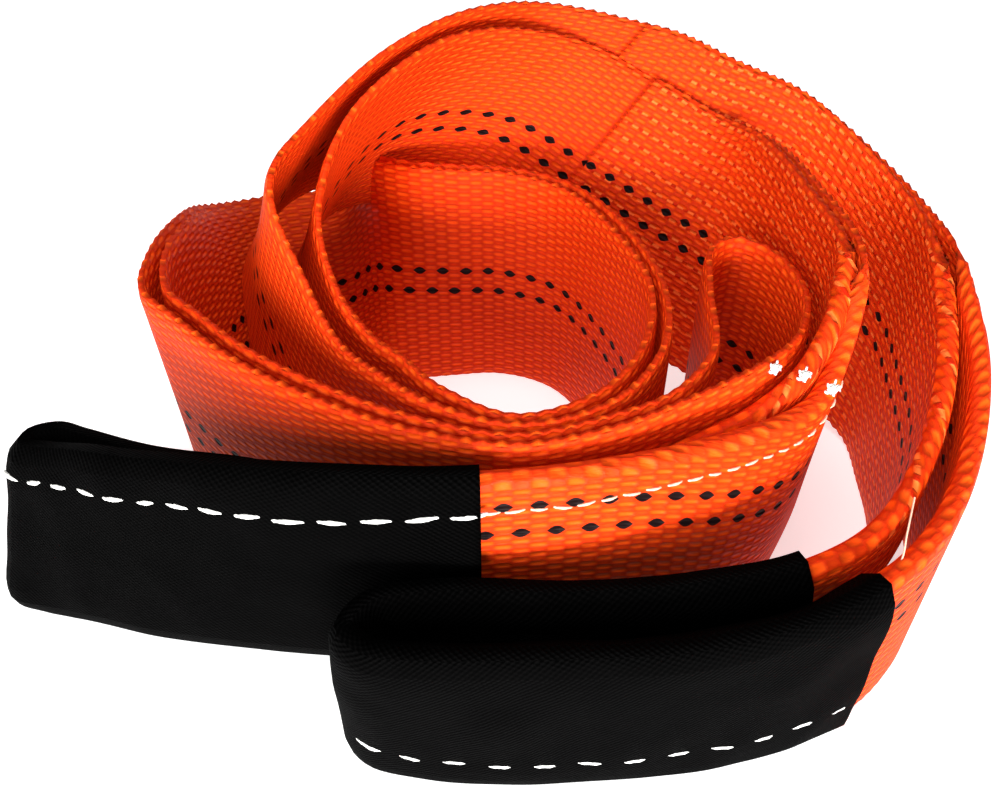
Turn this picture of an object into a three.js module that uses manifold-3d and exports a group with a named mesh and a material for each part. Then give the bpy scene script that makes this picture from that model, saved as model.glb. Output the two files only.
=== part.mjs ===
import * as THREE from "three";
import Module from "manifold-3d";

const wasm = await Module();
wasm.setup();

// Webbing tow strap, folded in half and rolled, standing on its edge, with an eye in a wear sleeve at each end.
// Millimetres, +Z up, the floor at z = 0, +X to the right and -Y towards the eyes.

// Flat webbing.
const STRAP_WIDTH = 75;
const STRAP_THICKNESS = 2.5;
// Width left in an eye once one edge of the webbing is folded over.
const EYE_WIDTH = 52;
// How far the folded ply sinks into its neighbour, so that the strap stays one body.
const PLY_BITE = 0.4;
// Gap between each sewn end and the ply it lies on.
const LAP_GAP = 0.5;
// Wear sleeves.
const SLEEVE_WALL = 1;
const SLEEVE_CLEARANCE = 0.4;
// Least depth of folded edge that is modelled.
const FOLD_START = 14;
// Length of the folded edge inside each sleeve's mouth, and of the slope behind it.
const FOLD_TUCK = 9;
const FOLD_SLOPE = 12;
// How far the sleeve's step keeps below the folded edge.
const FOLD_CLEARANCE = 0.8;
// Steps from one row of a list to the next.
const STEPS = 5;

// Each row is the lower edge's x, y, z, then how far the upper edge stands aside in x and y.
// A sixth number is the width, where it isn't the full one.
const EYE_A = [
  [81.5, -26, 15, 0, 0, 72],
  [76, -38, 16, 1, 1, 64],
  [67, -48.5, 17, 2, 1, 56],
  [55, -58, 17, 2, 1, EYE_WIDTH],
  [39, -66, 14, 2, 1, EYE_WIDTH],
  [18, -73.5, 8, 1, 0, EYE_WIDTH],
  [-8, -75.5, 2.5, 1, -1, EYE_WIDTH],
  [-34, -74, 1.6, 2, 3, EYE_WIDTH],
  [-62, -70, 1.6, 4, 9, EYE_WIDTH],
  [-90, -64, 1.6, 7, 8, EYE_WIDTH],
  [-110, -55, 1.8, 10, 5, EYE_WIDTH],
  [-121, -49, 1.8, 13, 2, EYE_WIDTH],
  [-128.5, -51, 2.2, 15, 2, EYE_WIDTH],
  [-129, -57, 2.4, 15, 4, EYE_WIDTH],
  [-120, -61.5, 4, 13, 5, EYE_WIDTH],
  [-102, -69, 9, 9, 5, EYE_WIDTH],
  [-84, -76, 13, 6, 5, EYE_WIDTH],
  [-60, -83.5, 17, 4, 4, EYE_WIDTH],
  [-34, -88, 19, 2, 3, EYE_WIDTH],
  [0, -89, 19.5, 0, 4, EYE_WIDTH],
  [28, -84.5, 19, 1, 6, EYE_WIDTH],
  [49, -78, 18, 6, 10, EYE_WIDTH],
  [64, -66, 17, 11, 10, 54],
  [77, -49, 16, 8, 6, 60],
  [85, -31, 15, 3, 2, 72],
];
const MIDDLE = [
  [86, -16, 14, 1, 2],
  [78, 8, 13, 7, 6],
  [61, 24, 15, 21, 20],
  [33.5, 37, 24, 40, 27.5],
  [2, 54, 37.5, 48, 24],
  [-31, 61, 55, 55, 22],
  [-57, 59, 52, 48, 7],
  [-68, 44, 36, 31, -12],
  [-67, 21, 19, 20, -18],
  [-58, -2, 7, 17, -19],
  [-46, -22, 1, 15, -14],
  [-33, -37, 0, 10, -8],
  [-15, -52, 0, 2, -6],
  [4, -60, 0, 0, -7],
  [22, -53, 0, 0, -6],
  [34, -38, 0, 0, -3],
  [38, -20, 0, 0, 0],
  [32, 8, 0, 0, 0],
  [18, 33, 0, 0, 1],
  [0, 41, 0, 0, 3],
  [-16, 40, 0, 0, 6],
  [-28, 36.5, 0, -2, 18],
  [-42, 29, 0, -10, 57],
  [-56, 26, 0, -24, 56],
  [-65, 12, 0, -27, 42],
  [-72, 1, 0, -19, 21],
  [-80, -7, 0, -9, 4],
  [-81, -19, 0, -3, 0],
  [-74, -29, 0, 0, 0],
  [-60, -42, 0, 0, -1],
  [-40, -54, 0, 0, -3],
  [-18, -62, 0, 0, -6],
  [4, -66, 0, 0, -7],
  [24, -61, 0, 0, -6],
  [39, -56, 0, 0, -3],
  [49.5, -44, 0, 0, 0],
  [53, -18, 0, 0, 0],
  [57, 1, 0, 0, 0],
  [64, 6, 0, 0, 0],
  [72, 0, 0, 0, 0],
  [76.5, -20, 0, 0, 0],
  [71, -38, 0, 0, 0],
  [58, -51, 0, 0, 0],
  [41, -59, 0, 0, -3],
  [24, -65, 0, 0, -6],
  [4, -69, 0, 0, -7],
  [-18, -66, 0, 0, -6],
  [-40, -59, 0, 0, -3],
  [-62, -46, 0, 0, -1],
  [-79, -31, 0, 0, 0],
  [-86, -19, 0, -4, 0],
  [-84.5, -5, 0, -9, 4],
  [-75.5, 5, 0, -19, 21],
  [-68.5, 16, 0, -27, 42],
  [-58, 31, 0, -24, 56],
  [-43, 33, 0, -10, 57],
  [-28, 40, 0, -2, 18],
  [-16, 43.5, 0, 0, 6],
  [2, 44, 0, 0, 3],
  [21, 35.5, 0, 0, 1],
  [35.5, 10, 0, 0, 0],
  [41.5, -20, 0, 0, 0],
  [38, -40, 0, 0, -3],
  [25, -56, 0, 0, -6],
  [4, -63, 0, 0, -7],
  [-16, -57, 0, 1, -6],
  [-37, -43, 0, 10, -9],
  [-54, -26, 2, 17, -15],
  [-68, -4, 12, 21, -22],
  [-77.5, 20, 31, 21, -27],
  [-82, 44, 42, 32, -29],
  [-70, 68, 53, 44, -14],
  [-39, 79, 56, 51, 11],
  [-2, 79, 48, 49, 9],
  [38, 57, 34, 37, 24],
  [79, 41, 20, 22, 30],
  [103, 22, 6, 15, 22],
  [113, 7, 1, 10, 16],
];
const EYE_B = [
  [117, -14, 0, 7, 11, 73],
  [116, -40, 0, 5, 7, 64],
  [107, -64, 0, 3, 3, 56],
  [92, -85, 1.4, 0, 0, EYE_WIDTH],
  [69, -99, 1.4, -2, -3, EYE_WIDTH],
  [40, -106, 1.5, -2, -5, EYE_WIDTH],
  [10, -108, 1.5, -2, -5, EYE_WIDTH],
  [-16, -107, 1.5, 0, -6, EYE_WIDTH],
  [-29, -104, 1.6, 2, -7, EYE_WIDTH],
  [-33, -99, 1.6, 2, -7, EYE_WIDTH],
  [-28, -94.5, 1.5, 1, -5, EYE_WIDTH],
  [-12, -94.5, 1.4, 0, -2, EYE_WIDTH],
  [12, -96, 1.4, -1, -1, EYE_WIDTH],
  [40, -95, 1.4, -1, 0, EYE_WIDTH],
  [67, -88, 1.4, -1, 0, EYE_WIDTH],
  [84, -76, 1.4, 0, 0, EYE_WIDTH],
  [97, -59, 0, 3, 4, 56],
  [106, -38, 0, 5, 7, 64],
  [110, -14, 0, 7, 11, 73],
];
// Rows of the middle that each sewn end covers.
const LAP_A_ROWS = 4;
const LAP_B_ROWS = 4;
// Rows of each eye, counted from its own list, where its sleeve starts and stops.
const SLEEVE_A = [7, 18.75];
const SLEEVE_B = [3.25, 14.6];

// A row as numbers: lower edge, lean and width.
function station(row) {
  return [row[0], row[1], row[2], row[3], row[4], row[5] ?? STRAP_WIDTH];
}

// Smooth curve through the rows, with steps spaced by the square root of the distance between rows.
function smooth(rows) {
  const p = rows.map(station);
  const gap = (a, b) => Math.sqrt(Math.hypot(a[0] - b[0], a[1] - b[1], a[2] - b[2]));
  const out = [];
  for (let i = 0; i + 1 < p.length; i++) {
    const b = p[i];
    const c = p[i + 1];
    const a = p[i - 1] ?? b.map((v, k) => 2 * v - c[k]);
    const d = p[i + 2] ?? c.map((v, k) => 2 * v - b[k]);
    const ab = gap(a, b);
    const bc = gap(b, c);
    const cd = gap(c, d);
    for (let j = 0; j < STEPS; j++) {
      const t = j / STEPS;
      out.push(
        b.map((v, k) => {
          const m0 = bc * ((v - a[k]) / ab - (c[k] - a[k]) / (ab + bc) + (c[k] - v) / bc);
          const m1 = bc * ((c[k] - v) / bc - (d[k] - v) / (bc + cd) + (d[k] - c[k]) / cd);
          const t2 = t * t;
          const t3 = t2 * t;
          return (2 * t3 - 3 * t2 + 1) * v + (t3 - 2 * t2 + t) * m0 + (3 * t2 - 2 * t3) * c[k] + (t3 - t2) * m1;
        }),
      );
    }
  }
  out.push(p[p.length - 1]);
  return out;
}

// Lower edge, direction up the width, width and face normal at each step.
function frames(points) {
  const low = points.map((p) => new THREE.Vector3(p[0], p[1], p[2]));
  const up = points.map((p) => {
    const rise = Math.sqrt(p[5] * p[5] - p[3] * p[3] - p[4] * p[4]);
    return new THREE.Vector3(p[3], p[4], rise).divideScalar(p[5]);
  });
  const mid = points.map((p, i) => low[i].clone().addScaledVector(up[i], p[5] / 2));
  return points.map((p, i) => {
    const a = mid[Math.max(i - 1, 0)];
    const b = mid[Math.min(i + 1, mid.length - 1)];
    const normal = b.clone().sub(a).cross(up[i]).normalize();
    return { low: low[i], up: up[i], width: p[5], normal };
  });
}

// The same steps moved sideways along their normals.
function beside(steps, distance) {
  return steps.map((s) => ({ ...s, low: s.low.clone().addScaledVector(s.normal, distance) }));
}

// The same steps taken the other way round.
function backwards(steps) {
  return steps.map((s) => ({ ...s, normal: s.normal.clone().negate() })).reverse();
}

// A corner of a section: height above the lower edge and distance along the normal, never below the floor.
function corner(s, height, aside) {
  const v = s.low.clone().addScaledVector(s.up, height).addScaledVector(s.normal, aside);
  v.z = Math.max(v.z, 0);
  return v;
}

// Closed body through sections of equal corner counts, with flat ends.
// Both faces of a ply are split along the same slant, so that plies laid together stay parallel.
function sweep(sections, closedEnds) {
  const n = sections[0].length;
  const flat = [];
  const face = (a, b, c) => {
    for (const v of [a, b, c]) flat.push(v.x, v.y, v.z);
  };
  for (let i = 0; i + 1 < sections.length; i++) {
    for (let k = 0; k < n; k++) {
      const l = (k + 1) % n;
      if (2 * k > n) {
        face(sections[i][k], sections[i + 1][k], sections[i][l]);
        face(sections[i + 1][k], sections[i + 1][l], sections[i][l]);
      } else {
        face(sections[i][k], sections[i + 1][k], sections[i + 1][l]);
        face(sections[i][k], sections[i + 1][l], sections[i][l]);
      }
    }
  }
  if (closedEnds) {
    const last = sections[sections.length - 1];
    for (let k = 1; k + 1 < n; k++) {
      face(sections[0][0], sections[0][k], sections[0][k + 1]);
      face(last[0], last[k + 1], last[k]);
    }
  }
  return flat;
}

// Rectangular section between two heights and two distances along the normal.
function bar(s, h0, h1, a0, a1) {
  return [corner(s, h0, a0), corner(s, h0, a1), corner(s, h1, a1), corner(s, h1, a0)];
}

function geometryOf(flat) {
  const g = new THREE.BufferGeometry();
  g.setAttribute("position", new THREE.BufferAttribute(new Float32Array(flat), 3));
  return g;
}

// Solid for joining, from loose triangles.
function solidOf(flat) {
  const index = new Map();
  const vertices = [];
  const triangles = [];
  for (let i = 0; i < flat.length; i += 3) {
    const key = [0, 1, 2].map((k) => Math.round(flat[i + k] * 1e4)).join();
    if (!index.has(key)) {
      index.set(key, vertices.length / 3);
      vertices.push(flat[i], flat[i + 1], flat[i + 2]);
    }
    triangles.push(index.get(key));
  }
  const kept = [];
  for (let i = 0; i < triangles.length; i += 3) {
    const [a, b, c] = triangles.slice(i, i + 3);
    if (a !== b && b !== c && c !== a) kept.push(a, b, c);
  }
  const mesh = new wasm.Mesh({
    numProp: 3,
    vertProperties: new Float32Array(vertices),
    triVerts: new Uint32Array(kept),
  });
  return new wasm.Manifold(mesh);
}

function geometryOfSolid(solid) {
  const m = solid.getMesh();
  const g = new THREE.BufferGeometry();
  const v = new Float32Array(m.numVert * 3);
  for (let i = 0; i < m.numVert; i++) {
    v.set(m.vertProperties.subarray(i * m.numProp, i * m.numProp + 3), i * 3);
  }
  g.setAttribute("position", new THREE.BufferAttribute(v, 3));
  g.setIndex(new THREE.BufferAttribute(m.triVerts, 1));
  return g.toNonIndexed();
}

// The middle, worked out with a few rows of each eye so that it meets them smoothly.
const half = STRAP_THICKNESS / 2;
const through = frames(smooth([...EYE_A, ...MIDDLE, ...EYE_B]));
const first = EYE_A.length * STEPS;
const last = (EYE_A.length + MIDDLE.length - 1) * STEPS;
const lapStep = STRAP_THICKNESS + LAP_GAP;

// The sewn ends lie on the side of the middle that faces into the roll.
const lapA = backwards(beside(through.slice(first, first + LAP_A_ROWS * STEPS + 1), -lapStep));
const lapB = backwards(beside(through.slice(last - LAP_B_ROWS * STEPS, last + 1), lapStep));
const rowOf = (s) => {
  const lean = s.up.clone().multiplyScalar(s.width);
  return [s.low.x, s.low.y, s.low.z, lean.x, lean.y, s.width];
};
const before = rowOf(lapA[lapA.length - 1 - STEPS]);
const after = rowOf(lapB[STEPS]);
const joinA = rowOf(lapA[lapA.length - 1]);
const joinB = rowOf(lapB[0]);
const eyeA = smooth([before, joinA, ...EYE_A, ...MIDDLE.slice(0, 2)]).slice(STEPS, -STEPS);
const eyeB = smooth([...MIDDLE.slice(-2), ...EYE_B, joinB, after]).slice(STEPS, -STEPS);
const eyeAFrames = frames(eyeA);
const eyeBFrames = frames(eyeB);

// The whole strap: sewn end, eye A, the middle, eye B and the other sewn end.
const middle = through.slice(first, last);
const run = [...lapA.slice(0, -1), ...eyeAFrames.slice(0, -1), ...middle, ...eyeBFrames, ...lapB.slice(1)];
let strap = solidOf(sweep(run.map((s) => bar(s, 0, s.width, -half, half)), true));

// Folded edge: the ply turned over the upper edge onto the eye's inner side.
function fold(steps, side) {
  const body = steps.map((s) => {
    const depth = Math.max(STRAP_WIDTH - s.width, 2);
    const a0 = side * (half - PLY_BITE);
    const a1 = side * (half + STRAP_THICKNESS);
    return bar(s, s.width - depth, s.width - 0.05, Math.min(a0, a1), Math.max(a0, a1));
  });
  return solidOf(sweep(body, true));
}

// Length along the middle of the width up to each step.
function lengths(steps) {
  const mid = steps.map((s) => s.low.clone().addScaledVector(s.up, s.width / 2));
  const out = [0];
  for (let i = 1; i < mid.length; i++) out.push(out[i - 1] + mid[i].distanceTo(mid[i - 1]));
  return out;
}

// Sleeve limits as steps. The eye's own list starts one row in.
const limitsA = SLEEVE_A.map((r) => Math.round((r + 1) * STEPS));
const limitsB = SLEEVE_B.map((r) => Math.round((r + 1) * STEPS));
const alongA = lengths(eyeAFrames);
const alongB = lengths(eyeBFrames);

function foldedRuns(steps, along, limits, side) {
  const inFrom = steps.findIndex((s) => s.width <= STRAP_WIDTH - FOLD_START);
  const inTo = along.findIndex((v) => v > along[limits[0]] + FOLD_TUCK);
  const outFrom = along.findIndex((v) => v > along[limits[1]] - FOLD_TUCK);
  let outTo = steps.length - 1;
  while (steps[outTo].width > STRAP_WIDTH - FOLD_START) outTo--;
  return [fold(steps.slice(inFrom, inTo + 1), side), fold(steps.slice(outFrom, outTo + 1), side)];
}
for (const piece of foldedRuns(eyeAFrames, alongA, limitsA, -1)) strap = strap.add(piece);
for (const piece of foldedRuns(eyeBFrames, alongB, limitsB, 1)) strap = strap.add(piece);

// Sleeve: an open-ended tube round the webbing, wider at its mouths for the folded edge.
function sleeve(steps, along, limits, side) {
  const part = steps.slice(limits[0], limits[1] + 1);
  const from = along[limits[0]];
  const to = along[limits[1]];
  const ring = (s, i, grow) => {
    const at = along[limits[0] + i];
    const inside = Math.min(at - from, to - at);
    const t = THREE.MathUtils.clamp((inside - FOLD_TUCK - 2) / FOLD_SLOPE, 0, 1);
    const extra = STRAP_THICKNESS * (1 - t * t * (3 - 2 * t));
    const o = half + SLEEVE_CLEARANCE + grow;
    const step = s.width - (STRAP_WIDTH - s.width) - SLEEVE_CLEARANCE - grow - FOLD_CLEARANCE;
    const top = s.width + SLEEVE_CLEARANCE + grow;
    const bottom = -SLEEVE_CLEARANCE - grow;
    const section = [
      [bottom, -side * o],
      [bottom, side * o],
      [step, side * o],
      [step + 0.5, side * (o + extra + 0.02)],
      [top, side * (o + extra + 0.02)],
      [top, -side * o],
    ];
    return section.map(([h, a]) => corner(s, h, a));
  };
  const order = side > 0 ? (r) => r : (r) => r.reverse();
  const outer = part.map((s, i) => order(ring(s, i, SLEEVE_WALL)));
  const inner = part.map((s, i) => order(ring(s, i, 0)).reverse());
  const flat = [...sweep(outer, false), ...sweep(inner, false)];
  const n = outer[0].length;
  const quad = (a, b, c, d) => {
    for (const v of [a, b, c, a, c, d]) flat.push(v.x, v.y, v.z);
  };
  for (let k = 0; k < n; k++) {
    const l = (k + 1) % n;
    const end = outer.length - 1;
    quad(outer[0][k], outer[0][l], inner[0][n - 1 - l], inner[0][n - 1 - k]);
    quad(outer[end][l], outer[end][k], inner[end][n - 1 - k], inner[end][n - 1 - l]);
  }
  return flat;
}

const group = new THREE.Group();

function piece(name, geometry, colour, roughness) {
  const material = new THREE.MeshStandardMaterial({ color: colour, roughness, metalness: 0 });
  const mesh = new THREE.Mesh(geometry, material);
  mesh.name = name;
  mesh.castShadow = true;
  group.add(mesh);
}

piece("webbing", geometryOfSolid(strap), 0xff4a12, 0.6);
piece("wear_sleeve_left", geometryOf(sleeve(eyeAFrames, alongA, limitsA, -1)), 0x121212, 0.85);
piece("wear_sleeve_front", geometryOf(sleeve(eyeBFrames, alongB, limitsB, 1)), 0x121212, 0.85);

// The origin is the middle of the outline on the floor.
const box = new THREE.Box3().setFromObject(group);
const centre = box.getCenter(new THREE.Vector3());
group.position.set(-centre.x, -centre.y, -box.min.z);

export default group;
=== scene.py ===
"""Looks of a rolled webbing tow strap with a sleeved eye at each end, standing on its edge."""

import math

import bpy
import numpy as np
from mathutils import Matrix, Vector, noise


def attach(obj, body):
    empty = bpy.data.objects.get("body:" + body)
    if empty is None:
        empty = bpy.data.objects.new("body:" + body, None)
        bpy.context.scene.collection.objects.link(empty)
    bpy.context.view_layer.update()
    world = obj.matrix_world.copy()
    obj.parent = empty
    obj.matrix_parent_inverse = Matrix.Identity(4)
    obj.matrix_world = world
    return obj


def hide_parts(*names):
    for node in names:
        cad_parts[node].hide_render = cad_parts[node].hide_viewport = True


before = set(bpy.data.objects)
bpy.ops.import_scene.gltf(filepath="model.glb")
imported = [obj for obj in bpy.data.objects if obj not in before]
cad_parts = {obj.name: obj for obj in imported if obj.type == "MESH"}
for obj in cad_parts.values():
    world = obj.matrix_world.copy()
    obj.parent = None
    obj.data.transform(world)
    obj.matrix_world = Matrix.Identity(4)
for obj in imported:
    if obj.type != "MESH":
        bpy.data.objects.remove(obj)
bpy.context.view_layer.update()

# Lengths below are millimetres; MM turns them into metres.
MM = 0.001
STRAP_WIDTH = 75
STRAP_THICKNESS = 2.5
EYE_WIDTH = 52
LAP_GAP = 0.5
FOLD_RADIUS = 1.3
SLEEVE_WALL = 1
SLEEVE_CLEARANCE = 0.4
# The route below has the camera at x = 0. This shift brings the middle of the outline to the origin.
SHIFT = (3.571, 11.234)
# Weave: one weft rib, and one warp yarn across.
RIB = 3.7
YARN = STRAP_WIDTH / 56
TRACER = 3.6
# Samples of the route from one row to the next.
SAMPLES = 16
# Columns of faces below the fold, round it and past it, and where they start and stop on flat webbing.
COLUMNS = (12, 5, 5)
FLAT_KNOTS = (45, 60)
# The columns move from their flat places to the fold while the webbing narrows by this much.
FOLD_EASE = 8
# The fold's bend sets in while the webbing narrows by this much.
FOLD_SET_IN = 4
# The fold changes face this far before the middle's end, where the webbing is flat.
FOLD_CHANGE = 300
# Woven edge: thinner than the webbing, with scallops and a slow ripple.
EDGE_THINNESS = 0.55
EDGE_SCALLOPS = (-0.15, 0.45)
EDGE_RIPPLE = 0.35
RIPPLE_LENGTH = 22
# Share of the ripple that the column beside the edge has.
RIPPLE_BESIDE_EDGE = 0.4
# Distance over which the stitching of a sewn end fades out.
SEWN_FADE = 4
# That stitching: its rows are half of the first apart, with a stitch to each of the second.
SEWN_ROWS = 9.4
SEWN_STITCH = 4.2
# Sleeve: stations along it, points up one face, flare of its mouths and wander of its hems.
SLEEVE_STEP = 1.6
SLEEVE_LEVELS = 16
MOUTH_FLARE = 0.5
MOUTH_DEPTH = 5
HEM_WANDER = 0.5
HEM_LENGTH = 24
CREASE_LENGTH = 17
DEEPEST_DENT = -0.3
# The lower hem wanders less than the upper one, by this share.
LOWER_HEM_SHARE = 0.4
# Tube's section: how square it is, and the share of its thickness left at its two edges.
SLEEVE_SQUARENESS = 7
LEAST_THICKNESS = 0.25
# The tube swells over the folded edge's rim: where that begins and how long it takes.
RIM_LEAD = 3
RIM_RAMP = 4
# Sleeve cloth: twill lines, their slope, and the yarns between them.
TWILL = 1.5
TWILL_SLOPE = 1.3
SLEEVE_YARN = 0.9
# Stitches: distance from one to the next, half thickness, and lift of those on the sleeves.
PITCH_LEFT = 9.2
PITCH_FRONT = 9.8
PITCH_BARE = 5
STITCH_LEFT = 0.6
STITCH_FRONT = 0.55
STITCH_BARE = 0.36
STITCH_LIFT = 0.5
# How much stitches differ in length and lie askew, how they twist, and how deep their ends sink.
STITCH_UNEVEN = 0.08
STITCH_TILT = 0.12
STITCH_TWIST = 2.2
STRAND_RELIEF = 0.18
STITCH_SINK = 0.5
# Length of a stitch at the start of a seam, and how much it changes to the seam's end.
LENGTH_LEFT = (6.6, 2.6)
LENGTH_FRONT = (7, 0)
LENGTH_BARE = (4.8, -1.2)
# Tufts of cut thread: name, place and size.
TUFTS = [
    ("tuft_back", (62.5, -50, 73.5), 4),
    ("tuft_middle", (68.5, -52.5, 73.5), 4.5),
    ("tuft_front", (74.5, -55.5, 72), 5),
]
# Thread ends in each tuft, and the half thickness of one.
TUFT_ENDS = 14
TUFT_THREAD = 0.5
TUFT_SPREAD = 0.32
# Thread end that hangs inside the front eye.
LOOSE_THREAD = [(89, -77, 60), (86, -84, 57), (84, -89, 53), (80, -93, 50)]
LOOSE_RADIUS = 0.2

# Depth of the relief on each surface.
WEAVE_DEPTH = 0.5
TWILL_DEPTH = 0.25
CREASE_DEPTH = 2.0
THREAD_DEPTH = 0.2

# Colours, as linear red, green, blue and opacity.
# Deep red painted into the hollows between the webbing's yarns as their shade.
PAINTED_SHADE_RED = (0.5, 0.012, 0.001, 1)
ORANGE = (0.95, 0.085, 0.004, 1)
DULL_ORANGE = (0.78, 0.038, 0.003, 1)
STITCHED_ORANGE = (1.0, 0.24, 0.05, 1)
TRACER_BLACK = (0.008, 0.003, 0.003, 1)
# Sleeve colours painted by relief: darker in the hollows and creases, lighter on the ridges.
SLEEVE_PAINTED_SHADE = (0.0001, 0.0001, 0.0001, 1)
SLEEVE_PAINTED_HIGHLIGHT = (0.0011, 0.001, 0.001, 1)
WHITE_THREAD = (0.85, 0.84, 0.8, 1)
WORN_THREAD = (0.8, 0.5, 0.36, 1)
FLOOR_DARK = (0.86, 0.86, 0.86, 1)
FLOOR_LIGHT = (0.9, 0.9, 0.9, 1)

# Studio: floor from the middle to its edge, glow of the floor and of the surroundings.
FLOOR_REACH = 3
FLOOR_GLOW = 0.6
WORLD_GLOW = 0.3
# Lamps: name, place in metres, side in metres and power in watts, all turned to one point.
LAMPS = [
    ("key", (-0.4, -0.9, 0.42), 0.4, 9),
    ("front", (0.15, -1.0, 0.04), 0.4, 38),
    ("top", (-0.1, 0.0, 1.1), 0.45, 4),
]
LAMPS_LOOK_AT = (0, 0, 0.04)

# Camera of the photograph.
CAMERA_AT = (0, -219, 208)
CAMERA_DOWN = 40
CAMERA_LENS = 34.2
CAMERA_SENSOR = 36

# Each row is the lower edge's x, y, z, then how far the upper edge stands aside in x and y.
# A sixth number is the width, where it isn't the full one.
EYE_A = [
    [81.5, -26, 15, 0, 0, 72],
    [76, -38, 16, 1, 1, 64],
    [67, -48.5, 17, 2, 1, 56],
    [55, -58, 17, 2, 1, EYE_WIDTH],
    [39, -66, 14, 2, 1, EYE_WIDTH],
    [18, -73.5, 8, 1, 0, EYE_WIDTH],
    [-8, -75.5, 2.5, 1, -1, EYE_WIDTH],
    [-34, -74, 1.6, 2, 3, EYE_WIDTH],
    [-62, -70, 1.6, 4, 9, EYE_WIDTH],
    [-90, -64, 1.6, 7, 8, EYE_WIDTH],
    [-110, -55, 1.8, 10, 5, EYE_WIDTH],
    [-121, -49, 1.8, 13, 2, EYE_WIDTH],
    [-128.5, -51, 2.2, 15, 2, EYE_WIDTH],
    [-129, -57, 2.4, 15, 4, EYE_WIDTH],
    [-120, -61.5, 4, 13, 5, EYE_WIDTH],
    [-102, -69, 9, 9, 5, EYE_WIDTH],
    [-84, -76, 13, 6, 5, EYE_WIDTH],
    [-60, -83.5, 19, 4, 4, EYE_WIDTH],
    [-34, -88, 22, 2, 3, EYE_WIDTH],
    [0, -89, 26, 0, 4, 48],
    [28, -84.5, 23, 1, 6, 50],
    [48, -78, 15.5, 6, 10, 56],
    [61, -66, 9.5, 11, 10, 61],
    [73, -49, 9, 8, 6, 67],
    [83, -31, 13, 3, 2, 74],
]
MIDDLE = [
    [86, -16, 14, 1, 2],
    [78, 8, 13, 7, 6],
    [61, 24, 15, 21, 20],
    [33.5, 37, 24, 40, 27.5],
    [2, 54, 37.5, 48, 24],
    [-31, 61, 55, 55, 22],
    [-57, 59, 52, 48, 7],
    [-68, 44, 36, 31, -12],
    [-67, 21, 19, 20, -18],
    [-58, -2, 7, 17, -19],
    [-46, -22, 1, 15, -14],
    [-33, -37, 0, 10, -8],
    [-15, -52, 0, 2, -6],
    [4, -60, 0, 0, -7],
    [22, -53, 0, 0, -6],
    [34, -38, 0, 0, -3],
    [38, -20, 0, 0, 0],
    [32, 8, 0, 0, 0],
    [18, 33, 0, 0, 1],
    [0, 41, 0, 0, 3],
    [-16, 40, 0, 0, 6],
    [-33, 36.5, 0, -2, 18],
    [-45, 29, 0, -10, 57],
    [-56, 26, 0, -24, 56],
    [-65, 12, 0, -27, 42],
    [-72, 1, 0, -19, 21],
    [-80, -7, 0, -9, 4],
    [-81, -19, 0, -3, 0],
    [-74, -29, 0, 0, 0],
    [-60, -42, 0, 0, -1],
    [-40, -54, 0, 0, -3],
    [-18, -62, 0, 0, -6],
    [4, -66, 0, 0, -7],
    [24, -61, 0, 0, -6],
    [39, -56, 0, 0, -3],
    [49.5, -44, 0, 0, 0],
    [53, -18, 0, 0, 0],
    [57, 1, 0, 0, 0],
    [64, 6, 0, 0, 0],
    [72, 0, 0, 0, 0],
    [76.5, -20, 0, 0, 0],
    [71, -38, 0, 0, 0],
    [58, -51, 0, 0, 0],
    [41, -59, 0, 0, -3],
    [24, -65, 0, 0, -6],
    [4, -69, 0, 0, -7],
    [-18, -66, 0, 0, -6],
    [-40, -59, 0, 0, -3],
    [-62, -46, 0, 0, -1],
    [-79, -31, 0, 0, 0],
    [-86, -19, 0, -4, 0],
    [-84.5, -5, 0, -9, 4],
    [-75.5, 5, 0, -19, 21],
    [-68.5, 16, 0, -27, 42],
    [-58, 31, 0, -24, 56],
    [-46, 33, 0, -10, 57],
    [-33, 40, 0, -2, 18],
    [-16, 43.5, 0, 0, 6],
    [2, 44, 0, 0, 3],
    [21, 35.5, 0, 0, 1],
    [35.5, 10, 0, 0, 0],
    [41.5, -20, 0, 0, 0],
    [38, -40, 0, 0, -3],
    [25, -56, 0, 0, -6],
    [4, -63, 0, 0, -7],
    [-16, -57, 0, 1, -6],
    [-37, -43, 0, 10, -9],
    [-54, -26, 2, 17, -15],
    [-68, -4, 12, 21, -22],
    [-77.5, 20, 31, 21, -27],
    [-82, 44, 42, 32, -29],
    [-70, 68, 53, 44, -14],
    [-39, 79, 56, 51, 11],
    [-2, 79, 48, 49, 9],
    [38, 57, 34, 37, 24],
    [79, 41, 20, 22, 30],
    [103, 22, 6, 15, 22],
    [113, 7, 1, 10, 16],
]
EYE_B = [
    [117, -14, 0, 7, 11, 73],
    [116, -40, 0, 5, 7, 64],
    [107, -64, 0, 3, 3, 56],
    [92, -85, 1.4, 0, 0, EYE_WIDTH],
    [69, -99, 1.4, -2, -3, EYE_WIDTH],
    [40, -106, 1.5, -2, -5, EYE_WIDTH],
    [10, -108, 1.5, -2, -5, EYE_WIDTH],
    [-16, -107, 1.5, 0, -6, EYE_WIDTH],
    [-29, -104, 1.6, 2, -7, EYE_WIDTH],
    [-33, -99, 1.6, 2, -7, EYE_WIDTH],
    [-28, -94.5, 1.5, 1, -5, EYE_WIDTH],
    [-12, -94.5, 1.4, 0, -2, EYE_WIDTH],
    [12, -96, 1.4, -1, -1, EYE_WIDTH],
    [40, -95, 1.4, -1, 0, EYE_WIDTH],
    [67, -88, 1.4, -1, 0, EYE_WIDTH],
    [84, -76, 1.4, 0, 0, EYE_WIDTH],
    [97, -59, 0, 3, 4, 56],
    [106, -38, 0, 5, 7, 64],
    [110, -14, 0, 7, 11, 73],
]
# Rows of the middle that each sewn end covers.
LAP_ROWS = 4
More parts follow.
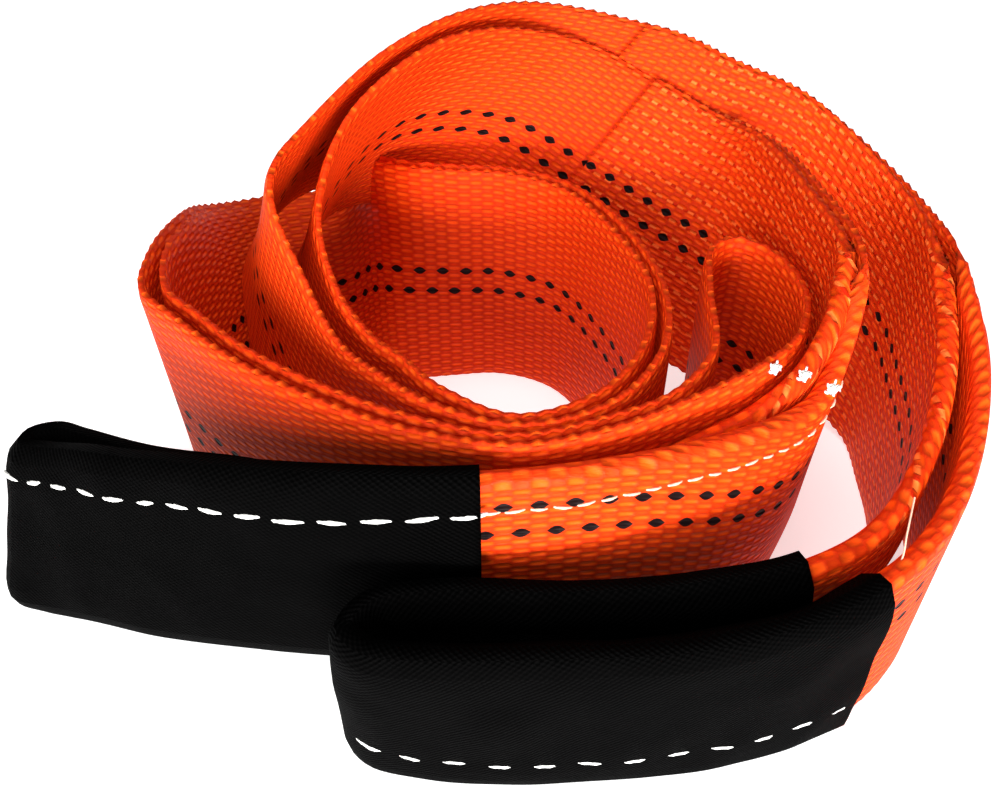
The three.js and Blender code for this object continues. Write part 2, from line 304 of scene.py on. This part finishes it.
# Rows of each eye, counted from its own list, where its sleeve starts and stops.
SLEEVE_A = (7, 18.85)
SLEEVE_B = (3.55, 13.9)
# How deep each sleeve's creases are.
WRINKLE_A = 1.4
WRINKLE_B = 1.2
# Seams on the sleeves and on the bare webbing beside the left one: row of the eye's list, and height.
SEAM_A = [(13.2, 45), (14.2, 45), (15, 44), (16, 43.5), (17, 43.5), (18, 43), (18.85, 42)]
SEAM_A_BARE = [(18.95, 40), (19.5, 40), (20, 42.5), (21, 49), (22, 54), (23, 60)]
SEAM_B = [(3.75, 14), (5, 14), (6, 13.5), (7, 13.5), (8.8, 16)]


def spline(rows):
    """Smooth curve through rows, with samples spaced by the square root of the distance between rows."""
    p = np.array([list(row) + [STRAP_WIDTH] * (6 - len(row)) for row in rows], float)
    p = np.vstack([2 * p[0] - p[1], p, 2 * p[-1] - p[-2]])
    gap = np.sqrt(np.linalg.norm(np.diff(p[:, :3], axis=0), axis=1))
    out = []
    for i in range(1, len(p) - 2):
        a, b, c, d = p[i - 1 : i + 3]
        ab, bc, cd = gap[i - 1 : i + 2]
        m0 = bc * ((b - a) / ab - (c - a) / (ab + bc) + (c - b) / bc)
        m1 = bc * ((c - b) / bc - (d - b) / (bc + cd) + (d - c) / cd)
        for t in np.arange(SAMPLES) / SAMPLES:
            h = (2 * t**3 - 3 * t**2 + 1) * b + (t**3 - 2 * t**2 + t) * m0
            out.append(h + (3 * t**2 - 2 * t**3) * c + (t**3 - t**2) * m1)
    out.append(p[-2])
    return np.array(out)


class Run:
    """A stretch of webbing: lower edge, direction up the width, width after the fold, face normal."""

    def __init__(self, low, up, width, normal):
        self.low, self.up, self.width, self.normal = low, up, width, normal

    def part(self, a, b):
        return Run(self.low[a:b], self.up[a:b], self.width[a:b], self.normal[a:b])

    def beside(self, distance):
        return Run(self.low + self.normal * distance, self.up, self.width, self.normal)

    def backwards(self):
        return Run(self.low[::-1], self.up[::-1], self.width[::-1], -self.normal[::-1])

    def row(self, i):
        lean = self.up[i] * self.width[i]
        return [*self.low[i], lean[0], lean[1], self.width[i]]

    def along(self):
        mid = self.low + self.up * (self.width / 2)[:, None]
        return np.r_[0, np.cumsum(np.linalg.norm(np.diff(mid, axis=0), axis=1))]

    def evenly(self, step):
        """The same stretch with stations a set step apart."""
        at = self.along()
        to = np.linspace(0, at[-1], int(round(at[-1] / step)) + 1)
        low, up, normal = (
            np.column_stack([np.interp(to, at, v[:, k]) for k in range(3)])
            for v in (self.low, self.up, self.normal)
        )
        up /= np.linalg.norm(up, axis=1)[:, None]
        normal /= np.linalg.norm(normal, axis=1)[:, None]
        return Run(low, up, np.interp(to, at, self.width), normal)


def run_of(points):
    low = points[:, :3]
    rise = np.sqrt(points[:, 5] ** 2 - points[:, 3] ** 2 - points[:, 4] ** 2)
    up = np.column_stack([points[:, 3], points[:, 4], rise]) / points[:, 5:6]
    mid = low + up * points[:, 5:6] / 2
    ahead = np.vstack([mid[1:], mid[-1:]]) - np.vstack([mid[:1], mid[:-1]])
    normal = np.cross(ahead, up)
    return Run(low, up, points[:, 5], normal / np.linalg.norm(normal, axis=1)[:, None])


def joined(*runs):
    return Run(*[np.concatenate([getattr(r, k) for r in runs]) for k in ("low", "up", "width", "normal")])


# The middle, and the sewn ends laid on its inner side.
through = run_of(spline(EYE_A + MIDDLE + EYE_B))
first = len(EYE_A) * SAMPLES
last = (len(EYE_A) + len(MIDDLE) - 1) * SAMPLES
lap_a = through.part(first, first + LAP_ROWS * SAMPLES + 1).beside(-STRAP_THICKNESS - LAP_GAP).backwards()
lap_b = through.part(last - LAP_ROWS * SAMPLES, last + 1).beside(STRAP_THICKNESS + LAP_GAP).backwards()
eye_a = run_of(spline([lap_a.row(-1 - SAMPLES), lap_a.row(-1)] + EYE_A + MIDDLE[:2])[SAMPLES:-SAMPLES])
eye_b = run_of(spline(MIDDLE[-2:] + EYE_B + [lap_b.row(0), lap_b.row(SAMPLES)])[SAMPLES:-SAMPLES])
middle = through.part(first, last)


def place(points):
    """Millimetres of the route to metres of the frame, never below the floor."""
    p = np.array(points, float)
    p[..., 2] = np.maximum(p[..., 2], 0)
    return (p + np.array([SHIFT[0], SHIFT[1], 0])) * MM


def add_mesh(name, points, faces, material):
    mesh = bpy.data.meshes.new(name)
    mesh.from_pydata([tuple(p) for p in points], [], faces)
    mesh.update()
    mesh.polygons.foreach_set("use_smooth", [True] * len(mesh.polygons))
    piece = bpy.data.objects.new(name, mesh)
    bpy.context.scene.collection.objects.link(piece)
    piece.data.materials.append(material)
    return piece


def set_weave(piece, coordinates, sewn=None):
    """Stores millimetres along and across the cloth for each vertex, for the material to follow."""
    along = piece.data.attributes.new("along", "FLOAT", "POINT")
    along.data.foreach_set("value", coordinates[:, 0].astype(np.float32))
    across = piece.data.attributes.new("across", "FLOAT", "POINT")
    across.data.foreach_set("value", coordinates[:, 1].astype(np.float32))
    if sewn is not None:
        mark = piece.data.attributes.new("sewn", "FLOAT", "POINT")
        mark.data.foreach_set("value", sewn.astype(np.float32))


class Nodes:
    """A material, with short names for what its pattern is built from."""

    def __init__(self, name):
        self.material = bpy.data.materials.new(name)
        self.material.use_nodes = True
        self.tree = self.material.node_tree
        self.shader = self.tree.nodes["Principled BSDF"]

    def link(self, value, socket):
        if isinstance(value, bpy.types.NodeSocket):
            self.tree.links.new(value, socket)
        else:
            socket.default_value = value

    def math(self, operation, a, b=0.0):
        node = self.tree.nodes.new("ShaderNodeMath")
        node.operation = operation
        for value, socket in zip((a, b), node.inputs):
            self.link(value, socket)
        return node.outputs[0]

    def attribute(self, name):
        node = self.tree.nodes.new("ShaderNodeAttribute")
        node.attribute_name = name
        return node.outputs["Fac"]

    def vector(self, x, y):
        node = self.tree.nodes.new("ShaderNodeCombineXYZ")
        for value, socket in zip((x, y), node.inputs):
            self.link(value, socket)
        return node.outputs[0]

    def noise(self, vector, scale, detail=2.0):
        node = self.tree.nodes.new("ShaderNodeTexNoise")
        node.inputs["Scale"].default_value = scale
        node.inputs["Detail"].default_value = detail
        self.link(vector, node.inputs["Vector"])
        return node.outputs["Fac"]

    def smooth(self, value, low, high):
        node = self.tree.nodes.new("ShaderNodeMapRange")
        node.interpolation_type = "SMOOTHSTEP"
        self.link(value, node.inputs["Value"])
        node.inputs["From Min"].default_value = low
        node.inputs["From Max"].default_value = high
        return node.outputs["Result"]

    def mix(self, factor, a, b):
        node = self.tree.nodes.new("ShaderNodeMix")
        node.data_type = "RGBA"
        self.link(factor, node.inputs[0])
        self.link(a, node.inputs[6])
        self.link(b, node.inputs[7])
        return node.outputs[2]

    def bump(self, height, distance, strength, normal=None):
        node = self.tree.nodes.new("ShaderNodeBump")
        node.inputs["Strength"].default_value = strength
        node.inputs["Distance"].default_value = distance
        self.link(height, node.inputs["Height"])
        if normal is not None:
            self.link(normal, node.inputs["Normal"])
        return node.outputs[0]

    def wave(self, value, period):
        return self.math("SINE", self.math("MULTIPLY", value, 2 * math.pi / period))


def webbing_material():
    n = Nodes("webbing")
    along = n.attribute("along")
    across = n.math("SUBTRACT", n.attribute("across"), STRAP_WIDTH / 2)
    wobble = n.math("MULTIPLY", n.noise(n.vector(along, across), 0.12), 0.5)
    along = n.math("ADD", along, wobble)
    # Warp yarns rise over every second rib, and neighbours take turns.
    weave = n.math("MULTIPLY", n.wave(along, 2 * RIB), n.wave(across, 2 * YARN))
    float_up = n.math("MAXIMUM", weave, -0.3)
    rib = n.math("MULTIPLY", n.math("ABSOLUTE", n.wave(along, 2 * RIB)), 0.32)
    furrow = n.math("MULTIPLY", n.math("ABSOLUTE", n.wave(across, 2 * YARN)), 0.3)
    fibre = n.noise(n.vector(n.math("MULTIPLY", along, 0.35), n.math("MULTIPLY", across, 3.0)), 1.0, 3.0)
    fine = n.math("ADD", furrow, n.math("MULTIPLY", fibre, 0.5))
    height = n.math("ADD", n.math("ADD", float_up, rib), fine)
    # Rows of stitching where the ends are sewn down.
    sewn = n.attribute("sewn")
    lines = n.smooth(n.math("ABSOLUTE", n.wave(across, SEWN_ROWS)), 0.93, 1.0)
    dash = n.smooth(n.wave(along, SEWN_STITCH), -0.5, 0.1)
    stitched = n.math("MULTIPLY", sewn, n.math("MULTIPLY", lines, dash))
    pulled = n.math("MULTIPLY", sewn, lines)
    height = n.math("ADD", height, n.math("MULTIPLY", pulled, -0.4))
    height = n.math("ADD", height, n.math("MULTIPLY", stitched, 0.9))
    # Painted shade: deep red between the yarns, where the weave's hollows lie in shade, and orange on top
    # of them.
    lift = n.smooth(height, -0.1, 1.5)
    colour = n.mix(lift, PAINTED_SHADE_RED, ORANGE)
    patches = n.smooth(n.noise(n.vector(along, across), 0.035, 4.0), 0.35, 0.7)
    colour = n.mix(n.math("MULTIPLY", patches, 0.22), colour, DULL_ORANGE)
    colour = n.mix(n.math("MULTIPLY", stitched, 0.5), colour, STITCHED_ORANGE)
    # Two black yarns beside the middle show where they rise.
    nearness = n.math("ABSOLUTE", n.math("SUBTRACT", n.math("ABSOLUTE", across), TRACER))
    turns = n.math("MULTIPLY", n.wave(along, 2 * RIB), n.math("SIGN", across))
    diamond = n.math("SUBTRACT", turns, n.math("MULTIPLY", nearness, 0.95))
    tracer = n.smooth(diamond, -0.3, -0.1)
    colour = n.mix(tracer, colour, TRACER_BLACK)
    n.link(colour, n.shader.inputs["Base Color"])
    # Painted light: the webbing glows faintly in its own colour, so that its shaded parts stay red.
    n.link(colour, n.shader.inputs["Emission Color"])
    n.shader.inputs["Emission Strength"].default_value = 0.05
    n.shader.inputs["Roughness"].default_value = 0.55
    n.shader.inputs["Specular IOR Level"].default_value = 0.08
    n.link(n.bump(height, WEAVE_DEPTH * MM, 0.9), n.shader.inputs["Normal"])
    return n.material


def sleeve_material():
    n = Nodes("sleeve")
    along = n.attribute("along")
    across = n.attribute("across")
    twill = n.wave(n.math("ADD", along, n.math("MULTIPLY", across, TWILL_SLOPE)), TWILL)
    yarn = n.wave(n.math("SUBTRACT", across, n.math("MULTIPLY", along, 0.35)), SLEEVE_YARN)
    crease = n.noise(n.vector(along, across), 0.09, 3.0)
    fluff = n.noise(n.vector(along, across), 1.6, 3.0)
    height = n.math("ADD", n.math("MULTIPLY", twill, 0.5), n.math("MULTIPLY", yarn, 0.25))
    height = n.math("ADD", height, n.math("MULTIPLY", fluff, 0.5))
    # Painted shade and highlight: the cloth is darker in its hollows and creases and lighter where its
    # twill, yarns, fluff and creases stand higher.
    shade = n.smooth(n.math("ADD", height, n.math("MULTIPLY", crease, 0.8)), 0.0, 1.6)
    colour = n.mix(shade, SLEEVE_PAINTED_SHADE, SLEEVE_PAINTED_HIGHLIGHT)
    n.link(colour, n.shader.inputs["Base Color"])
    n.shader.inputs["Roughness"].default_value = 0.7
    n.shader.inputs["Specular IOR Level"].default_value = 0.01
    fine = n.bump(height, TWILL_DEPTH * MM, 0.7)
    n.link(n.bump(crease, CREASE_DEPTH * MM, 0.5, fine), n.shader.inputs["Normal"])
    return n.material


def thread_material(name, colour):
    n = Nodes(name)
    place_of = n.tree.nodes.new("ShaderNodeTexCoord").outputs["Object"]
    strands = n.noise(place_of, 2500.0, 2.0)
    dark = tuple(0.72 * c for c in colour[:3]) + (1,)
    n.link(n.mix(strands, dark, colour), n.shader.inputs["Base Color"])
    n.shader.inputs["Roughness"].default_value = 0.6
    n.link(n.bump(strands, THREAD_DEPTH * MM, 0.5), n.shader.inputs["Normal"])
    return n.material


def floor_material():
    n = Nodes("floor")
    place_of = n.tree.nodes.new("ShaderNodeTexCoord").outputs["Object"]
    grain = n.noise(place_of, 8.0, 2.0)
    n.link(n.mix(grain, FLOOR_DARK, FLOOR_LIGHT), n.shader.inputs["Base Color"])
    n.shader.inputs["Roughness"].default_value = 0.9
    n.shader.inputs["Emission Color"].default_value = (1, 1, 1, 1)
    n.shader.inputs["Emission Strength"].default_value = FLOOR_GLOW
    return n.material


def fold_start(width):
    """Distance across the webbing where it starts to turn over."""
    bent = np.clip((STRAP_WIDTH - width) / FOLD_SET_IN, 0, 1)
    return width - math.pi * FOLD_RADIUS / 2 * bent


def section(width, side, across):
    """Height, offset and turning angle at a distance across webbing that is folded over at width."""
    arc = math.pi * FOLD_RADIUS
    start = fold_start(width)
    turn = np.clip((across - start) / arc, 0, 1) * math.pi
    down = np.maximum(across - start - arc, 0)
    height = np.minimum(across, start) + FOLD_RADIUS * np.sin(turn) - down
    return height, side * FOLD_RADIUS * (1 - np.cos(turn)), turn


def make_webbing():
    """The whole strap as one ribbon: sewn end, eye, middle, eye, sewn end."""
    parts = [lap_a.part(0, -1), eye_a.part(0, -1), middle, eye_b, lap_b.part(1, None)]
    lengths = [p.along()[-1] for p in parts]
    run = joined(*parts).evenly(RIB / 2)
    at = run.along()
    ends = np.cumsum(lengths)
    side = np.where(at < ends[2] - FOLD_CHANGE, -1.0, 1.0)
    count = len(at)
    zig = np.where(np.arange(count) % 2, EDGE_SCALLOPS[1], EDGE_SCALLOPS[0])
    share = np.clip((STRAP_WIDTH - run.width) / FOLD_EASE, 0, 1)
    start = fold_start(run.width)
    bends = (start, start + math.pi * FOLD_RADIUS)
    knots = [0 * share]
    knots += [(1 - share) * flat + share * bent for flat, bent in zip(FLAT_KNOTS, bends)]
    knots.append(STRAP_WIDTH + 0 * share)
    columns = [
        a + (b - a) * k / n for n, a, b in zip(COLUMNS, knots, knots[1:]) for k in range(n)
    ]
    columns.append(knots[-1])
    ripple = np.array([noise.noise(Vector((s / RIPPLE_LENGTH, 3.1, 0))) for s in at]) * EDGE_RIPPLE
    front, back, weave = [], [], []
    for j, v in enumerate(columns):
        edge = j in (0, len(columns) - 1)
        across = v + (zig * (1 if j else -1) if edge else 0)
        height, aside, turn = section(run.width, side, across)
        half = STRAP_THICKNESS / 2 * (EDGE_THINNESS if edge else 1)
        outward = np.stack([-side * np.sin(turn), np.cos(turn)])
        wave = ripple * (1 if edge else RIPPLE_BESIDE_EDGE if j in (1, len(columns) - 2) else 0)
        for points, sign in ((front, 1), (back, -1)):
            h = height + sign * half * outward[0]
            a = aside + sign * half * outward[1] + wave
            points.append(run.low + run.up * h[:, None] + run.normal * a[:, None])
        weave.append(np.column_stack([at, across]))
    grid = np.array(front + back[::-1])
    rings = len(grid)
    points = place(grid.transpose(1, 0, 2).reshape(-1, 3))
    faces = []
    for i in range(count - 1):
        for k in range(rings):
            m = (k + 1) % rings
            faces.append((i * rings + k, i * rings + m, (i + 1) * rings + m, (i + 1) * rings + k))
    faces.append(tuple(range(rings))[::-1])
    faces.append(tuple((count - 1) * rings + k for k in range(rings)))
    piece = add_mesh("webbing_woven", points, faces, webbing_material())
    marks = np.array(weave + weave[::-1]).transpose(1, 0, 2).reshape(-1, 2)
    near = np.minimum(np.abs(at - ends[0]), np.abs(at - ends[3]))
    sewn = np.repeat(np.clip((lengths[0] - near) / SEWN_FADE, 0, 1), rings)
    set_weave(piece, marks, sewn)
    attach(piece, "root")
    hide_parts("webbing")


def index_of(eye_row):
    """Sample of an eye's run for a row of its list; the run starts one row before the list."""
    return int(round((eye_row + 1) * SAMPLES))


def crease(point, wrinkle):
    """How far the sleeve's cloth stands proud at a point of the webbing."""
    return max(wrinkle * noise.noise(Vector([c / CREASE_LENGTH for c in point])), DEEPEST_DENT)


def make_sleeve(name, node, eye, limits, side, wrinkle, material):
    """Cloth tube round the eye's webbing and its folded edge, open at both mouths."""
    part = eye.part(index_of(limits[0]), index_of(limits[1]) + 1).evenly(SLEEVE_STEP)
    at = part.along()
    over = SLEEVE_CLEARANCE + SLEEVE_WALL
    points, marks = [], []
    levels = SLEEVE_LEVELS
    for i, s in enumerate(at):
        width = part.width[i]
        mouth = MOUTH_FLARE * math.exp(-min(s, at[-1] - s) / MOUTH_DEPTH)
        for k in range(2 * levels):
            outer = k < levels
            t = (k if outer else 2 * levels - 1 - k) / (levels - 1)
            h = -over + t * (width + 2 * over)
            shape = max(1 - abs(2 * t - 1) ** SLEEVE_SQUARENESS, 0) ** 0.5
            tucked = np.clip((h - (2 * width - STRAP_WIDTH) + RIM_LEAD) / RIM_RAMP, 0, 1)
            fold = 0 if outer else 2 * FOLD_RADIUS * tucked
            creases = crease(part.low[i] + part.up[i] * h, wrinkle)
            a = (STRAP_THICKNESS / 2 + over + fold + creases + mouth) * max(shape, LEAST_THICKNESS)
            a *= -side if outer else side
            hem = HEM_WANDER * noise.noise(Vector((s / HEM_LENGTH, 9.2, t * 2)))
            h += hem * (1 if t > 0.5 else LOWER_HEM_SHARE)
            points.append(part.low[i] + part.up[i] * h + part.normal[i] * a)
            marks.append((s, h if outer else 2 * width - h))
    ring = 2 * levels
    faces = []
    for i in range(len(at) - 1):
        for k in range(ring):
            m = (k + 1) % ring
            quad = (i * ring + k, i * ring + m, (i + 1) * ring + m, (i + 1) * ring + k)
            faces.append(quad if side < 0 else quad[::-1])
    piece = add_mesh(name, place(points), faces, material)
    set_weave(piece, np.array(marks))
    wall = piece.modifiers.new("wall", "SOLIDIFY")
    wall.thickness = SLEEVE_WALL * MM
    wall.offset = -1
    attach(piece, "root")
    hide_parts(node)


def seam_points(eye, seam, side, lift, period, wrinkle=0):
    """Places one period apart along a seam on an eye's outer face, with directions along and off it."""
    rows = np.array([r for r, h in seam], float)
    index = np.arange(index_of(rows[0]), index_of(rows[-1]) + 1)
    height = np.interp(index / SAMPLES - 1, rows, [h for r, h in seam])
    line = eye.low[index] + eye.up[index] * height[:, None]
    proud = np.array([lift + (crease(p, wrinkle) if wrinkle else 0) for p in line])
    line = line - eye.normal[index] * side * proud[:, None]
    at = np.r_[0, np.cumsum(np.linalg.norm(np.diff(line, axis=0), axis=1))]
    out = []
    for s in np.arange(0, at[-1], period):
        p = [np.array([np.interp(s + d, at, line[:, k]) for k in range(3)]) for d in (0, 1)]
        face = -side * np.array([np.interp(s, at, eye.normal[index][:, k]) for k in range(3)])
        ahead = (p[1] - p[0]) / np.linalg.norm(p[1] - p[0])
        out.append((p[0], ahead, face / np.linalg.norm(face), s / at[-1]))
    return out


def make_stitches(name, places, length, thickness, material):
    """One spindle of twisted thread for each place, bedded in the cloth at both ends."""
    points, faces = [], []
    rings, sides = 7, 8
    for n, (p, ahead, face, far) in enumerate(places):
        up = np.cross(face, ahead)
        long = (length[0] + length[1] * far) * (1 + STITCH_UNEVEN * math.sin(n * 2.3))
        tilt = STITCH_TILT * math.sin(n * 1.7)
        base = len(points)
        for i in range(rings):
            t = i / (rings - 1)
            fat = thickness * (0.3 + 0.7 * math.sin(math.pi * min(max(t, 0.03), 0.97)) ** 0.5)
            centre = p + ahead * long * (t - 0.5) + up * tilt * long * (t - 0.5)
            centre = centre + face * (fat * 0.55 - STITCH_SINK * abs(2 * t - 1) ** 3)
            for k in range(sides):
                turn = 2 * math.pi * k / sides + STITCH_TWIST * t
                strand = math.cos(3 * (turn - 2 * STITCH_TWIST * t))
                radius = fat * (1 + STRAND_RELIEF * strand)
                points.append(centre + (up * math.cos(turn) + face * math.sin(turn)) * radius)
        for i in range(rings - 1):
            for k in range(sides):
                m = (k + 1) % sides
                a = base + i * sides
                faces.append((a + k, a + m, a + sides + m, a + sides + k))
        faces.append(tuple(base + k for k in range(sides))[::-1])
        faces.append(tuple(base + (rings - 1) * sides + k for k in range(sides)))
    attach(add_mesh(name, place(points), faces, material), "root")


def make_thread(name, route, radius, material):
    """A loose thread along a smooth line through the points."""
    curve = bpy.data.curves.new(name, "CURVE")
    curve.dimensions = "3D"
    curve.bevel_depth = radius * MM
    curve.bevel_resolution = 3
    curve.use_fill_caps = True
    line = curve.splines.new("BEZIER")
    line.bezier_points.add(len(route) - 1)
    for knot, point in zip(line.bezier_points, place(route)):
        knot.co = point
        knot.handle_left_type = knot.handle_right_type = "AUTO"
    curve.materials.append(material)
    piece = bpy.data.objects.new(name, curve)
    bpy.context.scene.collection.objects.link(piece)
    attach(piece, "root")


def make_tuft(name, at, size, material):
    """Cut thread ends that stand out of the seam in a small tangle."""
    points, faces = [], []
    sides, rings = 5, 5
    for e in range(TUFT_ENDS):
        turn = e * 2.4
        reach = Vector((math.cos(turn), 0.6 * math.sin(turn), 0.4 + 0.5 * math.sin(e * 1.9)))
        reach *= size * TUFT_SPREAD
        base = len(points)
        for i in range(rings):
            t = i / (rings - 1)
            centre = Vector(at) + reach * t + Vector((0, 0, 0.9 * math.sin(3 * t + e)))
            for k in range(sides):
                a = 2 * math.pi * k / sides
                across = Vector((math.cos(a), 0.5 * math.sin(a), math.sin(a)))
                points.append(centre + across * TUFT_THREAD * (1 - 0.5 * t))
        for i in range(rings - 1):
            for k in range(sides):
                m = (k + 1) % sides
                a = base + i * sides
                faces.append((a + k, a + sides + k, a + sides + m, a + m))
        faces.append(tuple(base + k for k in range(sides)))
        faces.append(tuple(base + (rings - 1) * sides + k for k in range(sides))[::-1])
    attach(add_mesh(name, place(points), faces, material), "root")


def make_lamp(name, at, size, power):
    data = bpy.data.lights.new(name, "AREA")
    data.size = size
    data.energy = power
    lamp = bpy.data.objects.new(name, data)
    lamp.location = at
    aim = Vector(LAMPS_LOOK_AT) - Vector(at)
    lamp.rotation_euler = aim.to_track_quat("-Z", "Y").to_euler()
    bpy.context.scene.collection.objects.link(lamp)


def make_studio():
    corners = [(x * FLOOR_REACH, y * FLOOR_REACH, 0) for x, y in ((-1, -1), (1, -1), (1, 1), (-1, 1))]
    floor = add_mesh("floor", corners, [(0, 1, 2, 3)], floor_material())
    world = bpy.data.worlds.new("studio")
    world.use_nodes = True
    world.node_tree.nodes["Background"].inputs["Color"].default_value = (1, 1, 1, 1)
    world.node_tree.nodes["Background"].inputs["Strength"].default_value = WORLD_GLOW
    bpy.context.scene.world = world
    bpy.context.scene.view_settings.view_transform = "Standard"
    for lamp in LAMPS:
        make_lamp(*lamp)
    camera = bpy.data.objects.new("camera", bpy.data.cameras.new("camera"))
    camera.data.lens = CAMERA_LENS
    camera.data.sensor_width = CAMERA_SENSOR
    camera.data.clip_start = 0.01
    camera.location = [(CAMERA_AT[0] + SHIFT[0]) * MM, (CAMERA_AT[1] + SHIFT[1]) * MM, CAMERA_AT[2] * MM]
    camera.rotation_euler = (math.radians(90 - CAMERA_DOWN), 0, 0)
    bpy.context.scene.collection.objects.link(camera)
    bpy.context.scene.camera = camera


make_studio()
sleeve_cloth = sleeve_material()
white = thread_material("white_thread", WHITE_THREAD)
worn = thread_material("worn_thread", WORN_THREAD)
make_webbing()
make_sleeve("sleeve_left_cloth", "wear_sleeve_left", eye_a, SLEEVE_A, -1, WRINKLE_A, sleeve_cloth)
make_sleeve("sleeve_front_cloth", "wear_sleeve_front", eye_b, SLEEVE_B, 1, WRINKLE_B, sleeve_cloth)
on_sleeve = STRAP_THICKNESS / 2 + SLEEVE_CLEARANCE + SLEEVE_WALL + STITCH_LIFT
seam_left = seam_points(eye_a, SEAM_A, -1, on_sleeve, PITCH_LEFT, WRINKLE_A)
seam_front = seam_points(eye_b, SEAM_B, 1, on_sleeve, PITCH_FRONT, WRINKLE_B)
seam_bare = seam_points(eye_a, SEAM_A_BARE, -1, STRAP_THICKNESS / 2, PITCH_BARE)
make_stitches("stitches_left", seam_left, LENGTH_LEFT, STITCH_LEFT, white)
make_stitches("stitches_front", seam_front, LENGTH_FRONT, STITCH_FRONT, white)
make_stitches("stitches_on_webbing", seam_bare, LENGTH_BARE, STITCH_BARE, worn)
for tuft in TUFTS:
    make_tuft(*tuft, white)
make_thread("thread_in_eye", LOOSE_THREAD, LOOSE_RADIUS, worn)
